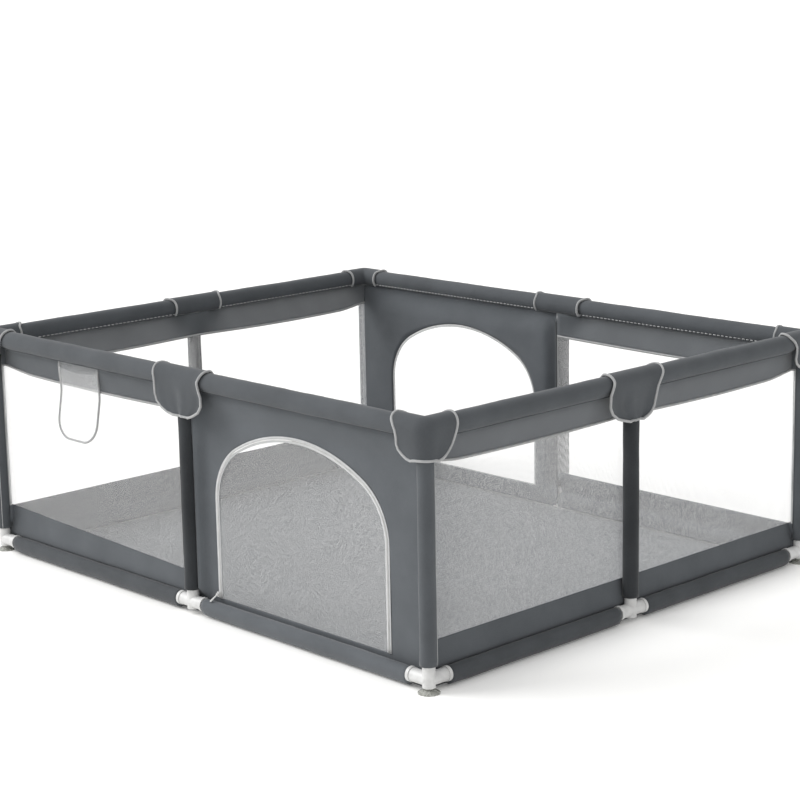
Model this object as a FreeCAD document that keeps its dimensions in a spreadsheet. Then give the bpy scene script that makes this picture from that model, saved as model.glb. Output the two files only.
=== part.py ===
import FreeCAD, Part
import os
import re

import Sketcher
from FreeCAD import Placement, Rotation, Vector

# A rectangular baby playpen: steel tubes pushed into plastic fittings, padded top rails, and a
# cloth cover with mesh windows, two zipped doors, a pocket, a floor sheet and lifting rail flaps.
# Origin: on the ground under the middle of the playpen. X along the long sides, Z up, the front
# side faces -Y. Millimetres.

SIZES = {
    # frame: distances between tube axes, and heights of the axes above the ground
    "bay_length": 886,  # from a middle post to a corner post along the long sides
    "bay_depth": 726,  # the same along the short sides
    "top_axis": 633,
    "bottom_axis": 33,
    # steel tubes
    "tube_radius": 12.5,
    "tube_hole": 11.3,
    "socket_hole": 12.6,
    "post_foot": 48,  # height of the post's lower end, inside its socket
    "post_head": 619,
    "corner_gap": 22,  # from a corner post's axis to the ends of its rails
    "middle_gap": 16,
    # plastic fittings
    "socket_radius": 16,
    "socket_top": 66,
    "arm_radius": 17,
    "collar_radius": 19,
    "collar_width": 9,
    "corner_reach": 62,  # from the post's axis to the end of an arm
    "middle_reach": 50,
    "head_radius": 16.5,  # the upper fittings, which the cover hides
    "head_arm_radius": 15.5,
    "head_drop": 50,
    "head_cap": 18,
    "head_reach": 55,
    # suction cups
    "cup_radius": 27,
    "cup_lip": 22,
    "cup_height": 14,
    "cup_edge": 2,  # thickness of its lip
    "cup_neck": 10.8,
    # padding round the tubes
    "pad_radius": 27,
    "pad_gap": 60,  # from a post's axis to the padding of a top rail
    "sleeve_radius": 21,
    "sleeve_foot": 68,
    "sleeve_head": 582,
    "hem_radius": 19,
    # cloth
    "cloth": 1.6,
    "wall_inset": 22,  # from the frame's plane in to the middle of the wall
    "wall_foot": 3.2,
    "wall_head": 616,
    "floor_rise": 0.5,
    "floor_cloth": 2.5,
    # doors, measured from the middle of the side
    "door_middle": 412,
    "door_half": 320,
    "door_sill": 55,
    "door_spring": 320,  # where the straight sides end
    "door_crown": 526,
    "door_shoulder": 165,  # radius of the arch's shoulders
    "door_play": 3,
    "sill_play": 0.4,
    "tape_width": 11,
    "tape_cloth": 1,
    # zip slider and its pull
    "slider_width": 9,
    "slider_height": 13,
    "slider_depth": 4.5,
    "slider_foot": 59,
    "slider_play": 0.2,  # from the tape out to the slider's plate
    "ear_width": 1.4,
    "ear_depth": 5,
    "ear_root": 1,  # how far an ear is sunk in the plate
    "pin_height": 66,
    "pin_out": 12.8,  # from the frame's plane in to the pull's pin
    "pin_radius": 0.9,
    "pull_hole": 1,
    "pull_play": 0.3,  # between the eye and each ear
    "pull_eye": 2.3,
    "pull_length": 25,
    "pull_width": 3.6,
    "pull_end": 6.4,
    "pull_cloth": 1.6,
    # pocket on the front, measured from the middle of the side
    "pocket_middle": 500,
    "pocket_half": 90,
    "pocket_head": 607,
    "pocket_mouth": 590,  # top of its front layer
    "pocket_foot": 380,
    "pocket_corner": 60,
    "pocket_back": 12,  # from the frame's plane in to its front layer
    "pocket_depth": 8.6,
    "pocket_cloth": 1,
    # covers over the rails at the posts: a sewn saddle inside and a lifting flap outside
    "saddle_hole": 27.6,
    "saddle_radius": 29.6,
    "saddle_foot": 620,
    "flap_hole": 29.5,
    "flap_radius": 31.5,
    "flap_gap": 1.5,  # from the rail's top line out to the flap
    "saddle_gap": 2.5,
    "middle_saddle": 84,  # half widths
    "middle_flap": 94,
    "middle_foot": 545,
    "middle_round": 38,
    "corner_flap": 78,
    "corner_low": 56,  # half width of the corner flap's lower part
    "corner_foot": 555,
    "corner_round": 30,
    "slack": 20,  # how far a cutting tool runs past what it cuts
}

# Each side's turn about Z. A side is made facing -Y, with X along it from its middle.
SIDES = {
    "front": (0, "0", "-bay_depth", "bay_length"),
    "right": (90, "bay_length", "0", "bay_depth"),
    "back": (180, "0", "bay_depth", "bay_length"),
    "left": (270, "-bay_length", "0", "bay_depth"),
}

# Each corner's turn about Z. A corner is made with its rails running to -X and +Y.
CORNERS = {
    "front_right": (0, "bay_length", "-bay_depth"),
    "back_right": (90, "bay_length", "bay_depth"),
    "back_left": (180, "-bay_length", "bay_depth"),
    "front_left": (270, "-bay_length", "-bay_depth"),
}

doc = FreeCAD.newDocument("Playpen")
sheet = doc.addObject("Spreadsheet::Sheet", "Sizes")
for row, (alias, size) in enumerate(SIZES.items(), start=1):
    sheet.set(f"A{row}", alias)
    sheet.set(f"B{row}", str(size))
    sheet.setAlias(f"B{row}", alias)
doc.recompute()

sub_parts = []


# Placing and binding


def sized(text):
    """The expression with every size in it read from the sheet."""
    return re.sub(r"[a-z_]+", lambda word: "Sizes." + word.group(), text)


def put(thing, x="0", y="0", z="0", turn=Rotation()):
    """Places an object, its position bound to the sheet."""
    thing.Placement = Placement(Vector(), turn)
    for axis, text in (("x", x), ("y", y), ("z", z)):
        thing.setExpression(f"Placement.Base.{axis}", sized(text))
    return thing


def about_z(degrees):
    return Rotation(Vector(0, 0, 1), degrees)


def on_side(thing, side):
    turn, x, y, _ = SIDES[side]
    return put(thing, x, y, turn=about_z(turn))


def on_corner(thing, corner):
    turn, x, y = CORNERS[corner]
    return put(thing, x, y, turn=about_z(turn))


def sub_part(thing, label):
    """Names a finished sub-part, which also names its file."""
    thing.Label = label
    sub_parts.append(thing)
    return thing


# Primitives and booleans

TURNS = {
    "x": Rotation(Vector(0, 1, 0), 90),
    "-x": Rotation(Vector(0, 1, 0), -90),
    "y": Rotation(Vector(1, 0, 0), -90),
    "z": Rotation(),
}


def cylinder(radius, length, along="z", x="0", y="0", z="0"):
    thing = doc.addObject("Part::Cylinder", "cylinder")
    thing.setExpression("Radius", sized(radius))
    thing.setExpression("Height", sized(length))
    return put(thing, x, y, z, TURNS[along])


def cone(foot_radius, head_radius, height, z="0"):
    thing = doc.addObject("Part::Cone", "cone")
    thing.setExpression("Radius1", sized(foot_radius))
    thing.setExpression("Radius2", sized(head_radius))
    thing.setExpression("Height", sized(height))
    return put(thing, z=z)


def ball(radius, z):
    thing = doc.addObject("Part::Sphere", "ball")
    thing.setExpression("Radius", sized(radius))
    return put(thing, z=z)


def box(length, width, height, x="0", y="0", z="0"):
    thing = doc.addObject("Part::Box", "box")
    for side, text in (("Length", length), ("Width", width), ("Height", height)):
        thing.setExpression(side, sized(text))
    return put(thing, x, y, z)


def fuse(*things):
    thing = doc.addObject("Part::MultiFuse", "fused")
    thing.Shapes = list(things)
    return thing


def cut(base, tool):
    thing = doc.addObject("Part::Cut", "cut")
    thing.Base = base
    thing.Tool = tool
    return thing


def common(base, tool):
    thing = doc.addObject("Part::Common", "common")
    thing.Base = base
    thing.Tool = tool
    return thing


def group(things):
    """Several solids in one sub-part."""
    thing = doc.addObject("Part::Compound", "group")
    thing.Links = things
    return thing


# Bodies with sketches


def sketch_on(body, role):
    plane = next(feature for feature in body.Origin.OriginFeatures if feature.Role == role)
    sketch = body.newObject("Sketcher::SketchObject", "sketch")
    sketch.AttachmentSupport = (plane, [""])
    sketch.MapMode = "FlatFace"
    return sketch


def constrain(sketch, size, kind, *where):
    """Adds a constraint whose value is bound to the sheet."""
    index = sketch.addConstraint(Sketcher.Constraint(kind, *where, 1.0))
    sketch.setExpression(f"Constraints[{index}]", sized(size))


def fix_point(sketch, edge, end, x, y):
    """Sets the end of an edge at x, y from the sketch's origin."""
    constrain(sketch, x, "DistanceX", -1, 1, edge, end)
    constrain(sketch, y, "DistanceY", -1, 1, edge, end)


DRAWN_RADIUS = Vector(10, 0, 0)  # where lines and circles are drawn before their sizes move them


def draw_outline(sketch, points):
    """A closed outline of straight lines through points given as expressions."""
    count = len(points)
    for index in range(count):
        start = about_z(360 * index / count).multVec(DRAWN_RADIUS)
        end = about_z(360 * (index + 1) / count).multVec(DRAWN_RADIUS)
        sketch.addGeometry(Part.LineSegment(start, end))
    for index, (x, y) in enumerate(points):
        sketch.addConstraint(Sketcher.Constraint("Coincident", index, 2, (index + 1) % count, 1))
        fix_point(sketch, index, 1, x, y)


def draw_rectangle(sketch, left, right, low, high):
    draw_outline(sketch, [(left, low), (right, low), (right, high), (left, high)])


def draw_rings(sketch, *radii):
    for index, radius in enumerate(radii):
        circle = sketch.addGeometry(Part.Circle(Vector(), Vector(0, 0, 1), DRAWN_RADIUS.x * (index + 1)))
        sketch.addConstraint(Sketcher.Constraint("Coincident", circle, 3, -1, 1))
        constrain(sketch, radius, "Radius", circle)


def pad(body, sketch, length, reverse=False):
    feature = body.newObject("PartDesign::Pad", "pad")
    feature.Profile = sketch
    feature.Reversed = reverse
    feature.setExpression("Length", sized(length))
    return feature


def pocket(body, sketch, length, reverse=False):
    feature = body.newObject("PartDesign::Pocket", "pocket")
    feature.Profile = sketch
    feature.Reversed = reverse
    feature.setExpression("Length", sized(length))
    return feature


def bored_bar(radius, hole, length):
    """A round bar with a round hole, standing on its end."""
    body = doc.addObject("PartDesign::Body", "bar")
    sketch = sketch_on(body, "XY_Plane")
    draw_rings(sketch, radius, hole)
    pad(body, sketch, length)
    return body


# The crown arc meets both shoulder arcs smoothly at this radius.
CROWN_RADIUS = (
    "((door_half - door_shoulder)^2 + (door_crown - door_spring)^2 - door_shoulder^2)"
    " / (2 * (door_crown - door_spring - door_shoulder))"
)


def draw_arch(sketch, grow, sill="door_sill"):
    """A door's outline, grown by a size all round except at its straight sill.

    Straight sides, two shoulder arcs and a flatter crown arc, all tangent. The crown's radius
    follows from the half width, the rise and the shoulders' radius.
    """
    half = SIZES["door_half"]
    rise = SIZES["door_crown"] - SIZES["door_spring"]
    shoulder = SIZES["door_shoulder"]
    inset = half - shoulder
    crown = (inset**2 + rise**2 - shoulder**2) / (2 * (rise - shoulder))
    middle = SIZES["door_middle"]
    spring = SIZES["door_spring"]
    low = SIZES["door_sill"]
    lean = Vector(inset, crown - rise, 0).normalize()
    knee = Vector(middle + inset, spring, 0) + lean * shoulder
    far_knee = Vector(2 * middle - knee.x, knee.y, 0)
    lean_side = Vector(1, 1, 0).normalize() * shoulder
    right, left = middle + half, middle - half
    shoulder_right = Vector(middle + inset, spring, 0)
    shoulder_left = Vector(middle - inset, spring, 0)
    top = Vector(middle, spring + rise, 0)
    edges = [
        Part.LineSegment(Vector(left, low, 0), Vector(right, low, 0)),
        Part.LineSegment(Vector(right, low, 0), Vector(right, spring, 0)),
        Part.Arc(Vector(right, spring, 0), shoulder_right + lean_side, knee),
        Part.Arc(knee, top, far_knee),
        Part.Arc(far_knee, shoulder_left + Vector(-lean_side.x, lean_side.y, 0), Vector(left, spring, 0)),
        Part.LineSegment(Vector(left, spring, 0), Vector(left, low, 0)),
    ]
    sill_line, right_side, right_shoulder, crown_arc, left_shoulder, left_side = [
        sketch.addGeometry(edge) for edge in edges
    ]
    add = sketch.addConstraint
    add(Sketcher.Constraint("Coincident", sill_line, 2, right_side, 1))
    add(Sketcher.Constraint("Tangent", right_side, 2, right_shoulder, 1))
    add(Sketcher.Constraint("Tangent", right_shoulder, 2, crown_arc, 1))
    add(Sketcher.Constraint("Tangent", crown_arc, 2, left_shoulder, 1))
    add(Sketcher.Constraint("Tangent", left_shoulder, 2, left_side, 1))
    add(Sketcher.Constraint("Coincident", left_side, 2, sill_line, 1))
    add(Sketcher.Constraint("Vertical", left_side))
    fix_point(sketch, sill_line, 1, f"door_middle - door_half - ({grow})", sill)
    fix_point(sketch, right_side, 1, f"door_middle + door_half + ({grow})", sill)
    fix_point(sketch, right_side, 2, f"door_middle + door_half + ({grow})", "door_spring")
    constrain(sketch, f"door_shoulder + ({grow})", "Radius", right_shoulder)
    constrain(sketch, f"door_shoulder + ({grow})", "Radius", left_shoulder)
    constrain(sketch, f"{CROWN_RADIUS} + ({grow})", "Radius", crown_arc)
    constrain(sketch, "door_spring", "DistanceY", -1, 1, left_side, 1)


# The steel frame


def make_posts():
    for corner in CORNERS:
        post = bored_bar("tube_radius", "tube_hole", "post_head - post_foot")
        turn, x, y = CORNERS[corner]
        put(post, x, y, "post_foot", about_z(turn))
        sub_part(post, f"corner_post_{corner}")
    for side, (turn, x, y, _) in SIDES.items():
        post = bored_bar("tube_radius", "tube_hole", "post_head - post_foot")
        put(post, x, y, "post_foot", about_z(turn))
        sub_part(post, f"middle_post_{side}")


def bar_pair(side, radius, hole, height, start, end_gap):
    """Two bars in line along a side, one in each bay."""
    half = SIDES[side][3]
    bars = []
    for sign, along in (("1", "x"), ("-1", "-x")):
        bar = bored_bar(radius, hole, f"{half} - {end_gap} - {start}")
        put(bar, x=f"{sign} * {start}", z=height, turn=TURNS[along])
        bars.append(bar)
    return on_side(group(bars), side)


def make_rails():
    for side in SIDES:
        for level in ("top", "bottom"):
            rails = bar_pair(side, "tube_radius", "tube_hole", f"{level}_axis", "middle_gap", "corner_gap")
            sub_part(rails, f"{level}_rail_{side}")


# Plastic fittings


def fitting(arms, axis, socket, reach, gap, socket_foot, socket_head, hole_foot, hole_head):
    """A hub with a socket for a post and two arms for rails, all bored to take the tubes."""
    solid = [cylinder(socket, f"{socket_head} - ({socket_foot})", z=socket_foot)]
    holes = [cylinder("socket_hole", f"{hole_head} - ({hole_foot})", z=hole_foot)]
    for along, x, y in arms:
        solid.append(cylinder("arm_radius", reach, along, z=axis))
        collar = f"({reach} - collar_width)"
        solid.append(
            cylinder("collar_radius", "collar_width", along, f"{x} * {collar}", f"{y} * {collar}", axis)
        )
        hole_length = f"{reach} - {gap} + slack"
        holes.append(cylinder("socket_hole", hole_length, along, f"{x} * {gap}", f"{y} * {gap}", axis))
    return cut(fuse(*solid), fuse(*holes))


CORNER_ARMS = (("-x", "-1", "0"), ("y", "0", "1"))
MIDDLE_ARMS = (("-x", "-1", "0"), ("x", "1", "0"))


def bottom_fitting(arms, reach, gap):
    return fitting(
        arms, "bottom_axis", "socket_radius", reach, gap, "cup_height", "socket_top", "post_foot",
        "socket_top + slack",
    )


def head_fitting(arms, gap):
    solid = [cylinder("head_radius", "head_drop + head_cap", z="top_axis - head_drop")]
    post_hole = "post_head - top_axis + head_drop + slack"
    holes = [cylinder("socket_hole", post_hole, z="top_axis - head_drop - slack")]
    for along, x, y in arms:
        solid.append(cylinder("head_arm_radius", "head_reach", along, z="top_axis"))
        holes.append(
            cylinder("socket_hole", "head_reach", along, f"{x} * {gap}", f"{y} * {gap}", "top_axis")
        )
    return cut(fuse(*solid), fuse(*holes))


def make_fittings():
    for corner in CORNERS:
        joint = bottom_fitting(CORNER_ARMS, "corner_reach", "corner_gap")
        sub_part(on_corner(joint, corner), f"bottom_corner_joint_{corner}")
    middles = [on_side(bottom_fitting(MIDDLE_ARMS, "middle_reach", "middle_gap"), side) for side in SIDES]
    sub_part(group(middles), "bottom_middle_joints")
    corners = [on_corner(head_fitting(CORNER_ARMS, "corner_gap"), corner) for corner in CORNERS]
    sub_part(group(corners), "top_corner_joints")
    middles = [on_side(head_fitting(MIDDLE_ARMS, "middle_gap"), side) for side in SIDES]
    sub_part(group(middles), "top_middle_joints")


def suction_cup():
    """A flat lip, a bell hollow underneath and a stepped neck that plugs the fitting."""
    bell = cone("cup_radius", "cup_radius / 2", "cup_height / 2", z="cup_edge")
    lip = cylinder("cup_radius", "cup_edge")
    neck = cylinder("cup_neck", "cup_height")
    hollow = cone("cup_lip", "cup_lip / 3", "cup_height / 3")
    return cut(fuse(lip, bell, neck), hollow)


def make_suction_cups():
    cups = [on_corner(suction_cup(), corner) for corner in CORNERS]
    sub_part(group(cups), "suction_cups")


# Padding and sleeves round the tubes


def make_padding():
    for side in SIDES:
        pads = bar_pair(side, "pad_radius", "socket_hole", "top_axis", "pad_gap", "pad_gap")
        sub_part(pads, f"rail_pad_{side}")
        hems = bar_pair(side, "hem_radius", "socket_hole", "bottom_axis", "middle_reach", "corner_reach")
        sub_part(hems, f"bottom_hem_{side}")
    for name, places in (("corner", CORNERS), ("middle", SIDES)):
        sleeves = []
        for place in places.values():
            sleeve = bored_bar("sleeve_radius", "socket_hole", "sleeve_head - sleeve_foot")
            sleeves.append(put(sleeve, place[1], place[2], "sleeve_foot"))
        sub_part(group(sleeves), f"{name}_post_sleeves")


# Walls, floor and doors


def wall_body(left, right, foot="wall_foot"):
    """A flat cloth wall inside the posts, padded inwards from its outer face."""
    body = doc.addObject("PartDesign::Body", "wall")
    sketch = sketch_on(body, "XZ_Plane")
    draw_rectangle(sketch, left, right, foot, "wall_head")
    pad(body, sketch, "cloth", reverse=True)
    return body


def on_wall(body, side, inset="wall_inset - cloth / 2"):
    """Puts a body made on the frame's plane at its inset from that plane."""
    turn, x, y, _ = SIDES[side]
    inward = {
        "front": (x, f"{y} + ({inset})"),
        "right": (f"{x} - ({inset})", y),
        "back": (x, f"{y} - ({inset})"),
        "left": (f"{x} + ({inset})", y),
    }[side]
    return put(body, *inward, turn=about_z(turn))


def make_walls():
    long_end = "bay_length - wall_inset + cloth / 2"
    short_end = "bay_depth - wall_inset - cloth / 2"
    for side in ("front", "back"):
        sub_part(on_wall(wall_body(f"-({long_end})", "0"), side), f"mesh_wall_{side}")
        bay = wall_body("0", long_end)
        doorway = sketch_on(bay, "XZ_Plane")
        draw_arch(doorway, "0")
        pocket(bay, doorway, "slack")
        sub_part(on_wall(bay, side), f"door_bay_{side}")
    for side in ("right", "left"):
        sub_part(on_wall(wall_body(f"-({short_end})", short_end), side), f"mesh_wall_{side}")


def make_floor():
    half_length = "(bay_length - wall_inset + cloth / 2)"
    half_depth = "(bay_depth - wall_inset + cloth / 2)"
    floor = box(
        f"2 * {half_length}", f"2 * {half_depth}", "floor_cloth",
        x=f"-{half_length}", y=f"-{half_depth}", z="floor_rise",
    )
    sub_part(floor, "floor_sheet")


def make_doors():
    for side in ("front", "back"):
        door = doc.addObject("PartDesign::Body", "door")
        panel = sketch_on(door, "XZ_Plane")
        draw_arch(panel, "-door_play", "door_sill + sill_play")
        pad(door, panel, "cloth", reverse=True)
        sub_part(on_wall(door, side), f"door_{side}")
        tape = doc.addObject("PartDesign::Body", "tape")
        edge = sketch_on(tape, "XZ_Plane")
        draw_arch(edge, "tape_width")
        pad(tape, edge, "tape_cloth")
        inner = sketch_on(tape, "XZ_Plane")
        draw_arch(inner, "0")
        pocket(tape, inner, "slack", reverse=True)
        sub_part(on_wall(tape, side), f"zip_tape_{side}")


# Zip sliders


def slider():
    """A plate that rides on the tape, with two ears that hold the pull's pin."""
    middle = "(door_middle - door_half - tape_width / 2)"
    back = "(wall_inset - cloth / 2 - tape_cloth - slider_play)"
    plate = box(
        "slider_width", "slider_depth", "slider_height",
        x=f"{middle} - slider_width / 2", y=f"{back} - slider_depth", z="slider_foot",
    )
    ears = []
    for sign in ("-1", "1"):
        centre = f"{middle} + {sign} * (slider_width / 2 - ear_width / 2)"
        ears.append(
            box(
                "ear_width", "ear_depth", "ear_depth",
                x=f"{centre} - ear_width / 2", y=f"{back} - slider_depth - ear_depth + ear_root",
                z="pin_height - ear_depth / 2",
            )
        )
    pin_end = f"{middle} - slider_width / 2"
    pin = cylinder("pin_radius", "slider_width", "x", x=pin_end, y="pin_out", z="pin_height")
    return fuse(plate, *ears, pin)


def pull():
    """An eye round the pin and a blade that widens to a round end, lying out over the hem."""
    eye_width = "(slider_width - 2 * (ear_width + pull_play))"
    eye = cylinder("pull_eye", eye_width, "x", x=f"-{eye_width} / 2")
    blade = doc.addObject("PartDesign::Body", "blade")
    sketch = sketch_on(blade, "XY_Plane")
    draw_outline(
        sketch,
        [
            ("-pull_width / 2", "0"),
            ("-pull_end / 2", "-pull_length"),
            ("pull_end / 2", "-pull_length"),
            ("pull_width / 2", "0"),
        ],
    )
    pad(blade, sketch, "pull_cloth")
    put(blade, z="-pull_cloth / 2")
    end = cylinder("pull_end / 2", "pull_cloth", y="-pull_length", z="-pull_cloth / 2")
    hole = cylinder("pull_hole", "slider_width", "x", x="-slider_width / 2")
    return cut(fuse(eye, blade, end), hole)


PULL_SLOPE = 30  # degrees below level, so that the pull rests on the hem


def make_zip_sliders():
    for side in ("front", "back"):
        sub_part(on_side(slider(), side), f"zip_slider_{side}")
        turn, x, y, _ = SIDES[side]
        sign = {"front": "1", "back": "-1"}[side]
        place = put(
            pull(),
            f"{sign} * (door_middle - door_half - tape_width / 2)",
            f"{y} + {sign} * pin_out",
            "pin_height",
            about_z(turn).multiply(Rotation(Vector(1, 0, 0), PULL_SLOPE)),
        )
        sub_part(place, f"zip_pull_{side}")


# The pocket


def rounded_plate(half, foot, head, corner, middle, thickness, front):
    """An upright plate with two round lower corners, as a boolean of simple solids."""
    column = f"({half} - {corner})"
    rise = f"{head} - {foot}"
    knee = f"{foot} + {corner}"
    upper = box(f"2 * {half}", thickness, f"{rise} - {corner}", f"{middle} - {half}", front, knee)
    lower = box(f"2 * {column}", thickness, rise, f"{middle} - {column}", front, foot)
    rounds = [
        cylinder(corner, thickness, "y", f"{middle} + {sign} * {column}", front, knee)
        for sign in ("-1", "1")
    ]
    return fuse(upper, lower, *rounds)


def make_pocket():
    outer = rounded_plate(
        "pocket_half", "pocket_foot", "pocket_head", "pocket_corner", "-pocket_middle", "pocket_depth",
        "pocket_back",
    )
    inner = rounded_plate(
        "(pocket_half - 2 * pocket_cloth)", "(pocket_foot + 2 * pocket_cloth)", "(pocket_head + slack)",
        "(pocket_corner - 2 * pocket_cloth)", "-pocket_middle", "(pocket_depth - 2 * pocket_cloth)",
        "(pocket_back + pocket_cloth)",
    )
    mouth = box(
        "2 * (pocket_half - 2 * pocket_cloth)", "pocket_depth - pocket_cloth + slack", "slack + slack",
        x="-pocket_middle - pocket_half + 2 * pocket_cloth", y="pocket_back - slack", z="pocket_mouth",
    )
    sub_part(on_side(cut(outer, fuse(inner, mouth)), "front"), "storage_pocket")


# Rail covers at the posts


def flap_shell(radius, length_text, foot, back):
    """The outer side of a cover over a rail along X, filled back to the given plane."""
    roll = cylinder(radius, f"2 * {length_text}", "x", x=f"-{length_text}", z="top_axis")
    skirt = box(
        f"2 * {length_text}", f"{radius} + {back}", f"top_axis - {foot}",
        x=f"-{length_text}", y=f"-{radius}", z=foot,
    )
    return fuse(roll, skirt)


def middle_flap():
    shell = cut(
        flap_shell("flap_radius", "middle_flap", "middle_foot", "0"),
        flap_shell("flap_hole", "(middle_flap + slack)", "(middle_foot - slack)", "slack"),
    )
    shape = rounded_plate(
        "middle_flap", "middle_foot", "(top_axis + 2 * flap_radius)", "middle_round", "0", "2 * flap_radius",
        "-flap_gap - 2 * flap_radius",
    )
    return common(shell, shape)


def middle_saddle():
    """A sewn strip from the rail's top down its inner side."""
    roll = cylinder("saddle_radius", "2 * middle_saddle", "x", x="-middle_saddle", z="top_axis")
    hole_length = "2 * (middle_saddle + slack)"
    hole = cylinder("saddle_hole", hole_length, "x", x="-middle_saddle - slack", z="top_axis")
    inner_side = box(
        "2 * middle_saddle", "2 * saddle_radius", "2 * saddle_radius",
        x="-middle_saddle", y="saddle_gap", z="saddle_foot",
    )
    return common(cut(roll, hole), inner_side)


def corner_rolls(radius, length):
    """Two round bars that meet over a corner post."""
    return [
        cylinder(radius, length, "-x", z="top_axis"),
        cylinder(radius, length, "y", z="top_axis"),
        ball(radius, "top_axis"),
    ]


def corner_block(radius, length, foot, back):
    """Corner rolls with a skirt below, its outer corner round, filled back to the given plane."""
    height = f"top_axis - {foot}"
    skirt = [
        box(length, f"{radius} + {back}", height, x=f"-{length}", y=f"-{radius}", z=foot),
        box(f"{radius} + {back}", length, height, x=f"-{back}", z=foot),
        cylinder(radius, height, z=foot),
    ]
    return fuse(*corner_rolls(radius, length), *skirt)


def corner_outline(along_x):
    """The flap's front or right face as a prism: full width on the rail, narrower and round below."""
    face = rounded_plate(
        "corner_low", "corner_foot", "(top_axis + 2 * flap_radius)", "corner_round", "0", "4 * corner_flap",
        "-2 * corner_flap",
    )
    upper = box(
        "2 * corner_flap", "4 * corner_flap", "3 * flap_radius",
        x="-corner_flap", y="-2 * corner_flap", z="top_axis - flap_radius",
    )
    prism = fuse(face, upper)
    return put(prism, turn=Rotation() if along_x else about_z(90))


def corner_flap():
    shell = cut(
        corner_block("flap_radius", "corner_flap", "corner_foot", "0"),
        corner_block("flap_hole", "(corner_flap + slack)", "(corner_foot - slack)", "slack"),
    )
    outlined = common(common(shell, corner_outline(True)), corner_outline(False))
    inside = box(
        "2 * corner_flap", "2 * corner_flap", "top_axis - corner_foot + 2 * slack + flap_radius",
        x="-2 * corner_flap + flap_gap", y="-flap_gap", z="corner_foot - slack",
    )
    return cut(outlined, inside)


def corner_saddle():
    """The sewn strip inside a corner, mitred where the two rails meet."""
    shell = cut(
        fuse(*corner_rolls("saddle_radius", "corner_flap")),
        fuse(*corner_rolls("saddle_hole", "(corner_flap + slack)")),
    )
    inside = box(
        "2 * corner_flap", "2 * corner_flap", "2 * saddle_radius",
        x="-2 * corner_flap - saddle_gap", y="saddle_gap", z="saddle_foot",
    )
    return common(shell, inside)


def make_rail_covers():
    sub_part(group([on_side(middle_saddle(), side) for side in SIDES]), "middle_cover_saddles")
    sub_part(group([on_corner(corner_saddle(), corner) for corner in CORNERS]), "corner_cover_saddles")
    for side in SIDES:
        sub_part(on_side(middle_flap(), side), f"middle_flap_{side}")
    for corner in CORNERS:
        sub_part(on_corner(corner_flap(), corner), f"corner_flap_{corner}")


def check_document():
    """Stops before anything is written if an object failed or a sub-part isn't sound."""
    for thing in doc.Objects:
        if "Invalid" in thing.State or "Error" in thing.State:
            raise RuntimeError(f"{thing.Label} failed: {thing.State}")
    labels = [part.Label for part in sub_parts]
    if len(set(labels)) != len(labels):
        raise RuntimeError("two sub-parts share a label")
    for part in sub_parts:
        if part.Shape.isNull() or not part.Shape.isValid() or not part.Shape.Solids:
            raise RuntimeError(f"{part.Label} has no sound shape")


make_posts()
make_rails()
make_fittings()
make_suction_cups()
make_padding()
make_walls()
make_floor()
make_doors()
make_zip_sliders()
make_pocket()
make_rail_covers()
doc.recompute()
check_document()
os.makedirs("parts", exist_ok=True)
for part in sub_parts:
    part.Shape.exportStep(f"parts/{part.Label}.step")
    print(part.Label, len(part.Shape.Solids), round(part.Shape.Volume), part.Shape.BoundBox)
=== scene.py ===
import math

import bmesh
import bpy
from mathutils import Matrix, Vector, noise


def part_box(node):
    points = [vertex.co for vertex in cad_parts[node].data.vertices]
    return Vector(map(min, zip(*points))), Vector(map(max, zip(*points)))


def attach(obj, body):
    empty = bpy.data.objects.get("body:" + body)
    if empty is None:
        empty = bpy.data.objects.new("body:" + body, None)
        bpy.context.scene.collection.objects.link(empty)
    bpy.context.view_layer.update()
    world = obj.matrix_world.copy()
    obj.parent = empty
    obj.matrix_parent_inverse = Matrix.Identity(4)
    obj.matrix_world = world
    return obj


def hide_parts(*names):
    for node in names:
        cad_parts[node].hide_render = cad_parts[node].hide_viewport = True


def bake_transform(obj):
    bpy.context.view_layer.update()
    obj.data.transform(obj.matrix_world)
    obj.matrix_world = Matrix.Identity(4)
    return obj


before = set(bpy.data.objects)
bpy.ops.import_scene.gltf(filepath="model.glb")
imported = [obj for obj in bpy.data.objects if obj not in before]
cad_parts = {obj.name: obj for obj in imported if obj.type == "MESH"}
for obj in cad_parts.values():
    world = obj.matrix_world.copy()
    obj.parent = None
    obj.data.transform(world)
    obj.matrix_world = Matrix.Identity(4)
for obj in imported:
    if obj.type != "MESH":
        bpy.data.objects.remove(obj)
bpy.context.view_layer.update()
MM = 0.001

# ---------------------------------------------------------------- the frame's own sizes


def middle_of(node):
    """The middle of a CAD node's box."""
    low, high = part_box(node)
    return [(a + b) / 2 for a, b in zip(low, high)]


HALF_LENGTH = middle_of("corner_post_front_right")[0]
HALF_DEPTH = -middle_of("corner_post_front_right")[1]
TOP_AXIS = middle_of("top_rail_front")[2]
LOW_AXIS = middle_of("bottom_rail_front")[2]
PAD_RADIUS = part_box("rail_pad_front")[1][2] - TOP_AXIS
HEM_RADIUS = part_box("bottom_hem_front")[1][2] - LOW_AXIS
SLEEVE_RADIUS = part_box("corner_post_sleeves")[1][0] - HALF_LENGTH
SLEEVE_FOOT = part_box("corner_post_sleeves")[0][2]
SLEEVE_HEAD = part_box("corner_post_sleeves")[1][2]
WALL_OUT = middle_of("mesh_wall_right")[0] - HALF_LENGTH
WALL_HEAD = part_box("mesh_wall_right")[1][2]
FLOOR_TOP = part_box("floor_sheet")[1][2]
PAD_START = HALF_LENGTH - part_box("rail_pad_front")[1][0]
HEM_END = HALF_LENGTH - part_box("bottom_hem_front")[1][0]
HEM_START = 51 * MM  # where a hem starts, from its side's middle

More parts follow.
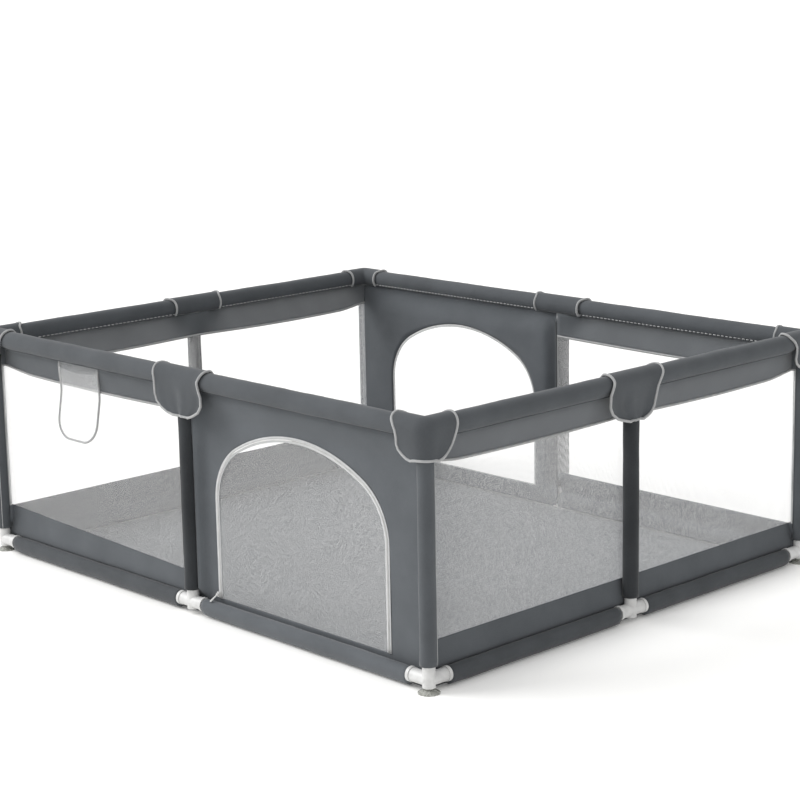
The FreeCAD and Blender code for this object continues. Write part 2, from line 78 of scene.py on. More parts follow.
BAND_FOOT = 541 * MM  # lower edge of the cloth band under the rail
WALL_REACH = 15 * MM  # how far a wall runs past its corner, to its post
SKIRT_HEAD = 115 * MM  # upper edge of the cloth band above the hem
CREASE = 50 * MM  # height at which the cloth above the hem leans furthest out
CLOTH = 0.9 * MM  # thickness of the walls' and floor's cloth

DOOR_LOW, DOOR_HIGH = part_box("door_front")
DOOR_MIDDLE = (DOOR_LOW[0] + DOOR_HIGH[0]) / 2
DOOR_PLAY = 3 * MM  # gap between a door and its doorway
DOOR_HALF = (DOOR_HIGH[0] - DOOR_LOW[0]) / 2 + DOOR_PLAY
DOOR_SILL = 55 * MM
DOOR_CROWN = DOOR_HIGH[2] + DOOR_PLAY
DOOR_SPRING = 320 * MM  # height where the doorway's straight sides end
DOOR_SHOULDER = 165 * MM  # radius of the bend from a straight side to the crown

# Each side: the way along it, the way out of it, its half length and its distance from the middle.
SIDES = {
    "front": (Vector((1, 0, 0)), Vector((0, -1, 0)), HALF_LENGTH, HALF_DEPTH),
    "right": (Vector((0, 1, 0)), Vector((1, 0, 0)), HALF_DEPTH, HALF_LENGTH),
    "back": (Vector((-1, 0, 0)), Vector((0, 1, 0)), HALF_LENGTH, HALF_DEPTH),
    "left": (Vector((0, -1, 0)), Vector((-1, 0, 0)), HALF_DEPTH, HALF_LENGTH),
}

# Each corner: the side that ends there, whose next side starts there.
CORNERS = {
    "front_right": ("front", "right"),
    "back_right": ("right", "back"),
    "back_left": ("back", "left"),
    "front_left": ("left", "front"),
}

UP = Vector((0, 0, 1))


def on_side(side, along, out, height):
    """A point on a side: along it from its middle, out from the frame's plane, and up."""
    way, outward, _, distance = SIDES[side]
    return way * along + outward * (distance + out) + UP * height


def on_corner(corner, along, out, height):
    """A point near a corner post: along the side that starts there, out of that side."""
    _, starts = CORNERS[corner]
    return on_side(starts, along - SIDES[starts][2], out, height)


def wall_half(side):
    """Half the length of a side's wall, past the posts at its ends."""
    return SIDES[side][2] + WALL_OUT + WALL_REACH


def smooth(value):
    """A share held between 0 and 1, eased in and out."""
    value = min(max(value, 0.0), 1.0)
    return value * value * (3 - 2 * value)


def ripple(point, scale, seed):
    """Smooth noise from -1 to 1 at a point, with features about 1 / scale metres across."""
    return noise.noise(Vector(point) * scale + Vector((seed, 3.7 * seed, 9.1)))


# ---------------------------------------------------------------- materials


class Nodes:
    """A small helper that adds and links the nodes of one material."""

    def __init__(self, name):
        self.material = bpy.data.materials.new(name)
        self.material.use_nodes = True
        self.tree = self.material.node_tree
        self.tree.nodes.clear()

    def add(self, kind, inputs=None, **settings):
        node = self.tree.nodes.new("ShaderNode" + kind)
        for key, value in settings.items():
            setattr(node, key, value)
        for key, value in (inputs or {}).items():
            if isinstance(value, bpy.types.NodeSocket):
                self.tree.links.new(value, node.inputs[key])
            else:
                node.inputs[key].default_value = value
        return node

    def math(self, operation, *values):
        return self.add("Math", dict(enumerate(values)), operation=operation).outputs[0]

    def place(self):
        return self.add("TexCoord").outputs["Object"]

    def noise(self, scale, detail=2.0):
        texture = self.add("TexNoise", {"Vector": self.place(), "Scale": scale, "Detail": detail})
        return texture.outputs["Fac"]

    def ramp(self, factor, *stops):
        node = self.add("ValToRGB", {"Fac": factor})
        elements = node.color_ramp.elements
        while len(elements) < len(stops):
            elements.new(0.5)
        for element, (position, color) in zip(elements, stops):
            element.position = position
            element.color = (*color, 1.0)
        return node.outputs["Color"]

    def scaled(self, value, factor, plus):
        return self.math("ADD", self.math("MULTIPLY", value, factor), plus)

    def bump(self, strength, distance, height, **more):
        inputs = {"Strength": strength, "Distance": distance, "Height": height, **more}
        return self.add("Bump", inputs).outputs["Normal"]

    def skin(self, color, rough, inputs):
        """A principled surface."""
        inputs = {"Base Color": color, "Roughness": rough, **inputs}
        return self.add("BsdfPrincipled", inputs).outputs[0]

    def finish(self, surface):
        output = self.add("OutputMaterial")
        self.tree.links.new(surface, output.inputs["Surface"])
        return self.material


def grey(value, tint=(1.0, 1.0, 1.0)):
    """A linear colour from an sRGB-like brightness, 0 to 1."""
    return tuple((value**2.2) * part for part in tint)


SLATE_TINT = (0.92, 1.0, 1.09)
IVORY_TINT = (1.0, 1.0, 0.99)
THREAD_WIDTH = 0.9 * MM


def weave_height(nodes, flat):
    """A plain weave's height: threads over and under, along the ground or up the walls."""
    axes = nodes.add("SeparateXYZ", {"Vector": nodes.place()}).outputs
    across = axes["X"] if flat else nodes.math("ADD", axes["X"], axes["Y"])
    along = axes["Y"] if flat else axes["Z"]
    turns = math.pi / THREAD_WIDTH
    warp = nodes.math("SINE", nodes.math("MULTIPLY", across, turns))
    weft = nodes.math("SINE", nodes.math("MULTIPLY", along, turns))
    return nodes.math("MULTIPLY", warp, weft)


def cloth(name, dark, light, glow=0.0, flat=False):
    """Plain woven polyester: a fine weave, mottled shade, faint creases and a soft sheen."""
    nodes = Nodes(name)
    weave = weave_height(nodes, flat)
    mottle = nodes.noise(9.0, 4.0)
    fleck = nodes.noise(420.0, 2.0)
    shade = nodes.math("ADD", nodes.math("MULTIPLY", mottle, 0.6), nodes.math("MULTIPLY", fleck, 0.4))
    shade = nodes.math("ADD", shade, nodes.math("MULTIPLY", weave, 0.05))
    color = nodes.ramp(shade, (0.3, grey(dark, SLATE_TINT)), (0.7, grey(light, SLATE_TINT)))
    creases = nodes.noise(24.0, 5.0)
    normal = nodes.bump(0.5, 1.6 * MM, creases)
    normal = nodes.bump(0.5, 0.15 * MM, weave, Normal=normal)
    rough = nodes.scaled(fleck, 0.2, 0.72)
    sheen = {"Sheen Weight": 0.2, "Sheen Roughness": 0.4, "Specular IOR Level": 0.2}
    skin = nodes.skin(color, rough, {"Normal": normal, **sheen})
    if not glow:
        return nodes.finish(skin)
    through = nodes.ramp(shade, (0.3, grey(glow - 0.04)), (0.7, grey(glow)))
    lit = nodes.add("BsdfTranslucent", {"Color": through})
    mix = nodes.add("MixShader", {0: 0.4, 1: skin, 2: lit.outputs[0]})
    return nodes.finish(mix.outputs[0])


NET_CELL = 3.4 * MM  # distance between the holes of one lattice
NET_STRETCH = 0.62  # the share at which heights are read, which draws the holes out upward


def net(name, cover, color):
    """Knitted net: light threads round staggered holes, with the holes really open."""
    nodes = Nodes(name)
    axes = nodes.add("SeparateXYZ", {"Vector": nodes.place()}).outputs
    across = nodes.math("ADD", axes["X"], axes["Y"])
    shrunk = nodes.math("MULTIPLY", axes["Z"], NET_STRETCH)
    gaps = []
    for shift in (0.0, 0.5 * NET_CELL):
        shifted = {"X": nodes.math("ADD", across, shift), "Y": nodes.math("ADD", shrunk, shift)}
        grid = nodes.add("CombineXYZ", shifted).outputs[0]
        cells = nodes.add(
            "TexVoronoi",
            {"Vector": grid, "Scale": 1 / NET_CELL, "Randomness": 0.0},
            voronoi_dimensions="2D",
        )
        gaps.append(cells.outputs["Distance"])
    gap = nodes.math("MINIMUM", *gaps)
    hole = math.sqrt((1 - cover) / (2 * math.pi))
    slack = nodes.math("MULTIPLY", nodes.math("SUBTRACT", nodes.noise(210.0, 1.0), 0.5), 0.085)
    thread = nodes.math("GREATER_THAN", nodes.math("ADD", gap, slack), hole)
    wear = nodes.noise(30.0, 3.0)
    tone = nodes.ramp(wear, (0.3, grey(color - 0.02)), (0.7, grey(color)))
    normal = nodes.bump(0.2, 0.2 * MM, gap)
    # The threads also glow faintly white though they are no lamp: painted light that keeps the net bright.
    glow = {"Emission Color": (1.0, 1.0, 1.0, 1.0), "Emission Strength": 0.14}
    yarn = nodes.skin(tone, 0.7, {"Sheen Weight": 0.2, "Normal": normal, **glow})
    lit = nodes.add("BsdfTranslucent", {"Color": tone})
    fibre = nodes.add("MixShader", {0: 0.45, 1: yarn, 2: lit.outputs[0]})
    open_hole = nodes.add("BsdfTransparent")
    mix = nodes.add("MixShader", {0: thread, 1: open_hole.outputs[0], 2: fibre.outputs[0]})
    return nodes.finish(mix.outputs[0])


def tape(name, value):
    """Light ribbed tape: the grosgrain of binding, piping and zip tape."""
    nodes = Nodes(name)
    axes = nodes.add("SeparateXYZ", {"Vector": nodes.place()}).outputs
    diagonal = nodes.math("ADD", nodes.math("ADD", axes["X"], axes["Y"]), axes["Z"])
    ribs = nodes.math("SINE", nodes.math("MULTIPLY", diagonal, 2 * math.pi / (1.4 * MM)))
    soil = nodes.noise(60.0, 4.0)
    shade = nodes.math("ADD", nodes.math("MULTIPLY", soil, 0.7), nodes.math("MULTIPLY", ribs, 0.12))
    color = nodes.ramp(shade, (0.2, grey(value - 0.08, (0.98, 1.0, 1.01))), (0.6, grey(value)))
    normal = nodes.bump(0.5, 0.25 * MM, ribs)
    return nodes.finish(nodes.skin(color, 0.8, {"Sheen Weight": 0.2, "Normal": normal}))


def moulded(name, value):
    """Satin white moulded plastic with a faint spark-eroded grain and scuffs on it."""
    nodes = Nodes(name)
    grain = nodes.noise(900.0, 2.0)
    scuff = nodes.noise(35.0, 6.0)
    color = nodes.ramp(scuff, (0.35, grey(value - 0.06, IVORY_TINT)), (0.6, grey(value, IVORY_TINT)))
    rough = nodes.scaled(scuff, 0.25, 0.28)
    return nodes.finish(nodes.skin(color, rough, {"Normal": nodes.bump(0.25, 0.1 * MM, grain)}))


def vinyl(name):
    """Clear greenish soft vinyl, cloudy with dust."""
    nodes = Nodes(name)
    cloud = nodes.noise(80.0, 4.0)
    color = nodes.ramp(cloud, (0.3, grey(0.62, (0.98, 1.0, 0.9))), (0.7, grey(0.8, (0.99, 1.0, 0.94))))
    rough = nodes.scaled(cloud, 0.3, 0.12)
    return nodes.finish(nodes.skin(color, rough, {"IOR": 1.45, "Transmission Weight": 0.45}))


def coated_steel(name):
    """Powder-coated steel tube, light grey with a fine orange peel."""
    nodes = Nodes(name)
    peel = nodes.noise(300.0, 2.0)
    mark = nodes.noise(12.0, 6.0)
    color = nodes.ramp(mark, (0.35, grey(0.72)), (0.65, grey(0.8)))
    rough = nodes.scaled(mark, 0.2, 0.3)
    return nodes.finish(nodes.skin(color, rough, {"Normal": nodes.bump(0.3, 0.1 * MM, peel)}))


RAIL_CLOTH = cloth("rail_cloth", 0.29, 0.34)
# The band's cloth is lighter than the rails' cloth of the same fabric: painted light standing in for the
# bounce from the white floor.
LIT_BAND_CLOTH = cloth("lit_band_cloth", 0.39, 0.44, glow=0.76)
PANEL_CLOTH = cloth("panel_cloth", 0.33, 0.38)
SKIRT_CLOTH = cloth("skirt_cloth", 0.32, 0.37)
# The middle posts' sleeves are darker than the corner sleeves of the same cloth: painted shade.
SHADED_POST_CLOTH = cloth("shaded_post_cloth", 0.18, 0.24)
CORNER_CLOTH = cloth("corner_cloth", 0.30, 0.35)
# The hems of the mesh bays are darker than the hems by the doors: painted shade standing in for the shadow at
# their foot.
SHADED_HEM_CLOTH = cloth("hem_cloth", 0.26, 0.31)
DOOR_HEM_CLOTH = cloth("door_hem_cloth", 0.33, 0.38)
COVER_CLOTH = cloth("cover_cloth", 0.28, 0.33)
FLOOR_CLOTH = cloth("floor_cloth", 0.33, 0.38, flat=True)
WALL_NET = net("wall_net", 0.29, 0.97)
POCKET_NET = net("pocket_net", 0.26, 0.98)
PIPING = tape("piping", 0.68)
ZIP_TAPE = tape("zip_tape", 0.80)
STITCH = tape("stitch", 0.78)
WHITE_PLASTIC = moulded("white_plastic", 0.80)
CUP_VINYL = vinyl("cup_vinyl")
STEEL = coated_steel("steel")


# ---------------------------------------------------------------- mesh helpers


def new_piece(name, points, faces, material, body="frame"):
    """A piece made from points and faces."""
    mesh = bpy.data.meshes.new(name)
    mesh.from_pydata([tuple(point) for point in points], [], faces)
    mesh.validate()
    work = bmesh.new()
    work.from_mesh(mesh)
    bmesh.ops.remove_doubles(work, verts=work.verts, dist=0.01 * MM)
    bmesh.ops.dissolve_degenerate(work, edges=work.edges, dist=0.01 * MM)
    bmesh.ops.recalc_face_normals(work, faces=work.faces)
    work.to_mesh(mesh)
    work.free()
    for face in mesh.polygons:
        face.use_smooth = True
    mesh.materials.append(material)
    piece = bpy.data.objects.new(name, mesh)
    bpy.context.scene.collection.objects.link(piece)
    if body:
        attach(piece, body)
    return piece


def grid_faces(rows, columns, wrap=False, first=0):
    """Quads over points laid out row by row."""
    faces = []
    for row in range(rows - 1):
        for column in range(columns if wrap else columns - 1):
            after = (column + 1) % columns
            low, high = first + row * columns, first + (row + 1) * columns
            faces.append((low + column, low + after, high + after, high + column))
    return faces


def thicken(piece, thickness):
    """Gives a sheet its thickness, half of it to each side."""
    solid = piece.modifiers.new("solid", "SOLIDIFY")
    solid.thickness = thickness
    solid.offset = 0.0
    depsgraph = bpy.context.evaluated_depsgraph_get()
    mesh = bpy.data.meshes.new_from_object(piece.evaluated_get(depsgraph))
    piece.modifiers.clear()
    piece.data = mesh
    return piece


def sheet_piece(name, rows, columns, place, material, thickness):
    """A sheet of cloth from a function of two shares, 0 to 1."""
    points = []
    for row in range(rows):
        points += [place(row / (rows - 1), column / (columns - 1)) for column in range(columns)]
    piece = new_piece(name, points, grid_faces(rows, columns), material)
    return thicken(piece, thickness) if thickness else piece


def cross_directions(path):
    """At each point of a path, two directions square to it that turn as little as they can."""
    last = len(path) - 1
    tangents = []
    for index in range(len(path)):
        tangents.append((path[min(index + 1, last)] - path[max(index - 1, 0)]).normalized())
    side = tangents[0].orthogonal().normalized()
    directions = []
    for tangent in tangents:
        side = (side - tangent * side.dot(tangent)).normalized()
        directions.append((side, tangent.cross(side)))
    return directions


def tube_points(path, reaches, segments):
    """A ring of points round each point of a path, with a reach of its own."""
    points = []
    for point, reach, (side, other) in zip(path, reaches, cross_directions(path)):
        for step in range(segments):
            angle = 2 * math.pi * step / segments
            points.append(point + side * (reach * math.cos(angle)) + other * (reach * math.sin(angle)))
    return points


def tube_piece(name, paths, radius, material, body="frame", segments=8):
    """Round cord, piping or binding along each of several open paths."""
    points, faces = [], []
    for path in paths:
        first = len(points)
        points += tube_points(path, [radius] * len(path), segments)
        faces += grid_faces(len(path), segments, wrap=True, first=first)
        last = len(points) - segments
        faces.append(tuple(range(first, first + segments)))
        faces.append(tuple(range(last, last + segments)))
    return new_piece(name, points, faces, material, body)


def stitch_piece(name, lines):
    """Rows of separate stitches, each a short round thread, along lines of points."""
    length, gap, radius = 8 * MM, 6.5 * MM, 1.3 * MM
    paths = []
    for line in lines:
        for start, end in zip(line, line[1:]):
            reach = (end - start).length
            way = (end - start).normalized()
            steps = int(reach // (length + gap))
            for step in range(steps):
                foot = start + way * (step * (length + gap) + gap / 2)
                paths.append([foot, foot + way * (length / 2), foot + way * length])
    return tube_piece(name, paths, radius, STITCH, segments=5)


# ---------------------------------------------------------------- padded rails


ROLL_SEGMENTS = 28
RINGS_APART = 11 * MM


def roll_points(side, sign, start, end, axis, radius, seed, squeeze, sag):
    """A soft roll along one bay: round, a little uneven, pinched at its ends."""
    rings = int((end - start) / RINGS_APART)
    points = []
    for ring in range(rings + 1):
        share = ring / rings
        along = start + (end - start) * share
        pinch = 1 - squeeze * (math.exp(-share * rings / 1.6) + math.exp(-(1 - share) * rings / 1.6))
        for step in range(ROLL_SEGMENTS):
            angle = 2 * math.pi * step / ROLL_SEGMENTS
            probe = (along * sign, math.cos(angle) * 0.03, math.sin(angle) * 0.03)
            uneven = 1.1 * MM * ripple(probe, 11.0, seed) + 0.45 * MM * ripple(probe, 42.0, seed + 5)
            reach = (radius - 1.2 * MM + uneven) * pinch
            drop = sag * max(0.0, -math.sin(angle)) ** 2
            height = axis + reach * math.sin(angle) - drop
            points.append(on_side(side, sign * along, reach * math.cos(angle), height))
    return points, grid_faces(rings + 1, ROLL_SEGMENTS, wrap=True)


def make_rolls(node, axis, radius, start, end_gap, material, squeeze, sag, name):
    """The soft rolls of every side, two to a side, with flat ends."""
    for seed, (side, (_, _, half, _)) in enumerate(SIDES.items()):
        for sign in (1, -1):
            points, faces = roll_points(
                side, sign, start, half - end_gap, axis, radius, seed * 2 + sign, squeeze, sag
            )
            last = len(points) - ROLL_SEGMENTS
            faces.append(tuple(range(ROLL_SEGMENTS)))
            faces.append(tuple(range(last, len(points))))
            bay = "right" if sign > 0 else "left"
            by_door = name == "hem" and side in ("front", "back") and sign > 0
            # hems other than those by the doors take the darker cloth, with its painted shade
            cover = DOOR_HEM_CLOTH if by_door else material
            piece = new_piece(f"{name}_{side}_{bay}", points, faces, cover)
            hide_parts(f"{node}_{side}")


make_rolls("rail_pad", TOP_AXIS, PAD_RADIUS, PAD_START, PAD_START, RAIL_CLOTH, 0.10, 0.0, "padded_rail")
make_rolls("bottom_hem", LOW_AXIS, HEM_RADIUS, HEM_START, HEM_END, SHADED_HEM_CLOTH, 0.06, 11 * MM, "hem")

# ---------------------------------------------------------------- post sleeves


def make_sleeves():
    """A cloth tube round each post, with a turned lower edge and slight twists; the corner posts' sleeves
    also get a side seam.
    """
    places = {f"middle_{side}": (side, 0.0) for side in SIDES}
    places |= {f"corner_{corner}": (sides[0], SIDES[sides[0]][2]) for corner, sides in CORNERS.items()}
    rings, segments = 40, 24
    for seed, (name, (side, along)) in enumerate(places.items()):
        points = []
        for ring in range(rings + 1):
            height = SLEEVE_FOOT + (SLEEVE_HEAD - SLEEVE_FOOT) * ring / rings
            flare = 0.9 * MM * math.exp(-(height - SLEEVE_FOOT) / (14 * MM))
            for step in range(segments):
                angle = 2 * math.pi * step / segments
                probe = (math.cos(angle) * 0.03, math.sin(angle) * 0.03, height)
                reach = SLEEVE_RADIUS - 0.8 * MM + 0.9 * MM * ripple(probe, 14.0, seed + 20) + flare
                points.append(on_side(side, along + reach * math.sin(angle), reach * math.cos(angle), height))
        # the middle sleeves take the darker cloth, with its painted shade
        cover = CORNER_CLOTH if name.startswith("corner") else SHADED_POST_CLOTH
        faces = grid_faces(rings + 1, segments, wrap=True)
        piece = new_piece(f"post_sleeve_{name}", points, faces, cover)
        thicken(piece, 1.6 * MM)
        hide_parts("corner_post_sleeves" if name.startswith("corner") else "middle_post_sleeves")
    seams = []
    for corner in CORNERS:
        out, along = SLEEVE_RADIUS * 0.76, SLEEVE_RADIUS * 0.65
        heights = [SLEEVE_FOOT + (SLEEVE_HEAD - SLEEVE_FOOT) * step / rings for step in range(rings + 1)]
        seams.append([on_corner(corner, along, out, height) for height in heights])
    tube_piece("sleeve_seams", seams, 1.1 * MM, PIPING)


make_sleeves()

# ---------------------------------------------------------------- walls


def band_foot(along, half):
    """The band's lower edge: higher at the posts, sagging a little in each bay."""
    share = abs(along) / half
    sag = math.sin(math.pi * share)
    lift = 11 * MM * smooth((share - 0.82) / 0.18)
    return BAND_FOOT - 6 * MM * sag + lift


def wall_out(side, along, height, seed):
    """How far out the hanging wall lies: in line with its posts, and out under the rail."""
    half = SIDES[side][2]
    from_post = min(abs(along), abs(half - abs(along)))
    free = smooth((from_post - 22 * MM) / (70 * MM))
    under_rail = smooth((height - (BAND_FOOT - 10 * MM)) / (75 * MM)) * 17 * MM * free
    held = smooth((WALL_HEAD - height) / (30 * MM)) * smooth((height - DOOR_SILL) / (60 * MM))
    wave = 1.3 * MM * ripple((along, seed, height), 7.0, seed) * held
    return WALL_OUT + under_rail + wave


def skirt_head(side, along):
    """The upper edge of the cloth above the hem: higher on the left, sloping along the front's bay."""
    if side == "left":
        return SKIRT_HEAD + 20 * MM
    if side == "front":
        return SKIRT_HEAD - 12 * MM + 32 * MM * min(-along / HALF_LENGTH, 1.0)
    return SKIRT_HEAD


def skirt_out(side, along, height, seed):
    """The lower band's way out over the hem's roll and back in to the floor sheet."""
    rest = wall_out(side, along, height, seed)
    if height > LOW_AXIS:
        clear = math.sqrt(max(HEM_RADIUS**2 - (height - LOW_AXIS) ** 2, 0.0))
        lean = 9.5 * MM * smooth((SKIRT_HEAD - height) / (SKIRT_HEAD - CREASE))
        return min(rest + lean, -clear - 0.9 * MM)
    return rest


def wall_strip(
    name, side, left, right, low, high, material, seed, rows,
    columns_apart=16 * MM, out=wall_out, thickness=CLOTH,
):
    """A strip of a side's wall between two heights, each a function of the place along it."""
    columns = max(3, int((right - left) / columns_apart))

    def place(down, across):
        along = left + (right - left) * across
        foot, head = low(along), high(along)
        height = foot + (head - foot) * down
        return on_side(side, along, out(side, along, height, seed), height)

    return sheet_piece(name, rows, columns, place, material, thickness)


def edge_line(side, left, right, height, out):
    """Points along an edge of a wall, whose height and way out are functions of the place along it."""
    count = max(3, int((right - left) / (14 * MM)))
    line = []
    for step in range(count + 1):
        along = left + (right - left) * step / count
        line.append(on_side(side, along, out(along), height(along)))
    return line


def scalloped(name, line):
    """Overlocked binding along a line: close loops of thread that make its edge uneven."""
    segments = 8
    even = resample(line, 2.2 * MM)
    reaches = [(3.9 if index % 2 else 2.7) * MM for index in range(len(even))]
    faces = grid_faces(len(even), segments, wrap=True)
    return new_piece(name, tube_points(even, reaches, segments), faces, PIPING)


def resample(line, apart):
    """Points at an even distance along a line."""
    even = [line[0]]
    left_over = 0.0
    for start, end in zip(line, line[1:]):
        reach = (end - start).length
        along = apart - left_over
        while along < reach:
            even.append(start.lerp(end, along / reach))
            along += apart
        left_over = reach - (along - apart)
    return even


STITCH_ANGLE = 219
WELT_ANGLE = -64


def round_rail(side, ends, radius, degrees):
    """A line along a rail's roll, at an angle round it from straight out, in degrees."""
    angle = math.radians(degrees)
    out, height = radius * math.cos(angle), TOP_AXIS + radius * math.sin(angle)
    return [on_side(side, along, out, height) for along in ends]


def make_band(side, seed):
    """The cloth band under a rail with its light lower binding and the stitches under the rail."""
    half = wall_half(side)
    bay_end = 0.0 if side in ("front", "back") else half

    def foot(along):
        return band_foot(along, half)

    def head(_):
        return WALL_HEAD - 5 * MM

    name = f"band_{side}"
    band = wall_strip(name, side, -half, bay_end, foot, head, LIT_BAND_CLOTH, seed, rows=9)
    line = edge_line(side, -half, bay_end, foot, lambda along: wall_out(side, along, foot(along), seed))
    scalloped(f"band_binding_{side}", line)
    stitches, welts = [], []
    for sign in (-1, 1):
        ends = [sign * (PAD_START + 8 * MM), sign * (SIDES[side][2] - PAD_START - 8 * MM)]
        stitches.append(round_rail(side, ends, PAD_RADIUS, STITCH_ANGLE))
        welts.append(resample(round_rail(side, ends, PAD_RADIUS - 0.4 * MM, WELT_ANGLE), 20 * MM))
    stitch_piece(f"rail_stitches_{side}", stitches)
    tube_piece(f"rail_welt_{side}", welts, 1.3 * MM, RAIL_CLOTH)


def make_window(side, name, left, right, seed):
    """One mesh bay: net from the band down to the cloth band above the hem, bound at its sides."""

    def net_head(along):
        return band_foot(along, wall_half(side)) + 2 * MM

    def net_foot(along):
        return skirt_head(side, along) - 2 * MM

    def cloth_head(along):
        return skirt_head(side, along)

    def cloth_foot(_):
        return FLOOR_TOP

    window = wall_strip(
        f"net_{name}", side, left, right, net_foot, net_head, WALL_NET, seed, rows=26,
        columns_apart=18 * MM, thickness=0.0,
    )
    head = (skirt_head(side, left) + skirt_head(side, right)) / 2
    skirt = wall_strip(
        f"skirt_{name}", side, left, right, cloth_foot, cloth_head, SKIRT_CLOTH, seed, rows=22,
        out=skirt_out,
    )
    edges = []
    steps = 24
    for along in (left + 1 * MM, right - 1 * MM):
        line = []
        low = skirt_head(side, along)
        for step in range(steps + 1):
            height = low + (net_head(along) - low) * step / steps
            line.append(on_side(side, along, wall_out(side, along, height, seed), height))
        edges.append(line)
    tube_piece(f"window_binding_{name}", edges, 1.2 * MM, PIPING)
    return window


def door_outline(grow, steps=14):
    """The doorway's outline from its lower left, up and over to its lower right."""
    half, shoulder = DOOR_HALF + grow, DOOR_SHOULDER + grow
    inset = half - shoulder
    rise = DOOR_CROWN + grow - DOOR_SPRING
    crown = (inset**2 + rise**2 - shoulder**2) / (2 * (rise - shoulder))
    lean = math.atan2(inset, crown - rise)
    outline = []
    for step in range(steps):
        outline.append((-half, DOOR_SILL + (DOOR_SPRING - DOOR_SILL) * step / steps))
    for step in range(steps):
        angle = math.pi - (math.pi / 2 - lean) * step / steps
        outline.append((-inset + shoulder * math.cos(angle), DOOR_SPRING + shoulder * math.sin(angle)))
    for step in range(2 * steps):
        angle = math.pi / 2 + lean - 2 * lean * step / (2 * steps)
        outline.append((crown * math.cos(angle), DOOR_SPRING + rise - crown + crown * math.sin(angle)))
    for step in range(steps):
        angle = math.pi / 2 - lean - (math.pi / 2 - lean) * step / steps
        outline.append((inset + shoulder * math.cos(angle), DOOR_SPRING + shoulder * math.sin(angle)))
    for step in range(steps + 1):
        outline.append((half, DOOR_SPRING - (DOOR_SPRING - DOOR_SILL) * step / steps))
    return [(DOOR_MIDDLE + across, height) for across, height in outline]


def closed_outline(grow):
    """The doorway's outline with its sill, as one loop."""
    arch = door_outline(grow)
    sill_steps = 22
    left, right = arch[0][0], arch[-1][0]
    sill = [(right + (left - right) * step / sill_steps, DOOR_SILL) for step in range(1, sill_steps)]
    return arch + sill


DOOR_CENTRE = (DOOR_MIDDLE, (DOOR_SILL + DOOR_CROWN) / 2)


def round_sleeve(along, height):
    """How far out the door bay's cloth comes round the middle post's sleeve."""
    bulge = 23 * MM * math.exp(-(((along - 27 * MM) / (16 * MM)) ** 2))
    return bulge * smooth((height - 50 * MM) / (20 * MM))


def make_door_bay(side, seed):
    """The solid cloth bay round a doorway, as rings from the doorway out to the bay's edges."""
    left, right = 0.0, wall_half(side)
    low, high = FLOOR_TOP, WALL_HEAD - 5 * MM
    inner = closed_outline(0.0)
    rings = 13

    def to_edge(point):
        """Where the line from the doorway's centre through a point meets the bay's edge."""
        reaches = []
        for place, middle, near, far in zip(point, DOOR_CENTRE, (left, low), (right, high)):
            away = place - middle
            if abs(away) > 1e-9:
                reaches.append(((far if away > 0 else near) - middle) / away)
        return [middle + (place - middle) * min(reaches) for place, middle in zip(point, DOOR_CENTRE)]

    points = []
    for ring in range(rings + 1):
        share = ring / rings
        for point in inner:
            edge = to_edge(point)
            along = point[0] + (edge[0] - point[0]) * share
            height = point[1] + (edge[1] - point[1]) * share
            out = wall_out(side, along, height, seed) + round_sleeve(along, height)
            points.append(on_side(side, along, out, height))
    faces = grid_faces(rings + 1, len(inner), wrap=True)
    bay = new_piece(f"door_bay_cloth_{side}", points, faces, PANEL_CLOTH)
    thicken(bay, CLOTH)
    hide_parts(f"door_bay_{side}")


def make_door(side, seed):
    """A mesh door, as rings from its edge in to its middle."""
    outline = closed_outline(-DOOR_PLAY)
    rings = 20
    points = []
    for ring in range(rings + 1):
        share = ring / rings * 0.985
        for across, height in outline:
            along = across + (DOOR_CENTRE[0] - across) * share
            up = max(height, DOOR_SILL + 1 * MM)
            up = up + (DOOR_CENTRE[1] - up) * share
            belly = 1.5 * MM * ripple((along, 0, up), 6.0, seed) * smooth((up - DOOR_SILL) / (50 * MM))
            points.append(on_side(side, along, WALL_OUT + belly, up))
    faces = grid_faces(rings + 1, len(outline), wrap=True)
    last = len(points) - len(outline)
    faces.append(tuple(range(last, len(points))))
    door = new_piece(f"door_net_{side}", points, faces, WALL_NET, body=f"door_{side}")
    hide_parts(f"door_{side}")


def ribbon(name, side, inner, outer, out, body):
    """A flat tape between two matched outlines on a wall."""
    points = [on_side(side, along, out, height) for along, height in inner + outer]
    piece = new_piece(name, points, grid_faces(2, len(inner)), ZIP_TAPE, body)
    return thicken(piece, 0.8 * MM)


def make_zip(side):
    """The zip round a doorway: a tape on the wall, a tape on the door and a row of teeth on each."""
    face = WALL_OUT + 1.5 * MM
    door = f"door_{side}"
    inner, outer = door_outline(0.4 * MM), door_outline(7 * MM)
    fixed = ribbon(f"zip_wall_tape_{side}", side, inner, outer, face, "frame")
    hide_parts(f"zip_tape_{side}")
    inner, outer = door_outline(-DOOR_PLAY - 5 * MM), door_outline(-DOOR_PLAY)
    ribbon(f"zip_door_tape_{side}", side, inner, outer, face, door)
    for name, grow, body in (("wall", 0.2 * MM, "frame"), ("door", -DOOR_PLAY + 0.4 * MM, door)):
        path = [on_side(side, along, face + 0.9 * MM, height) for along, height in door_outline(grow, 24)]
        tube_piece(f"zip_{name}_coil_{side}", [path], 1.1 * MM, WHITE_PLASTIC, body, segments=6)


def make_walls():
    """Front and back: a mesh bay and a door bay. Left and right: two mesh bays."""
    for seed, side in enumerate(SIDES):
        half = wall_half(side)
        make_band(side, seed)
        if side in ("front", "back"):
            window = make_window(side, side, -half, 0.0, seed)
            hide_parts(f"mesh_wall_{side}")
            make_door_bay(side, seed)
            make_door(side, seed)
            make_zip(side)
        else:
            window = make_window(side, f"{side}_near", -half, 0.0, seed)
            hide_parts(f"mesh_wall_{side}")
            make_window(side, f"{side}_far", 0.0, half, seed)


make_walls()

# ---------------------------------------------------------------- floor sheet


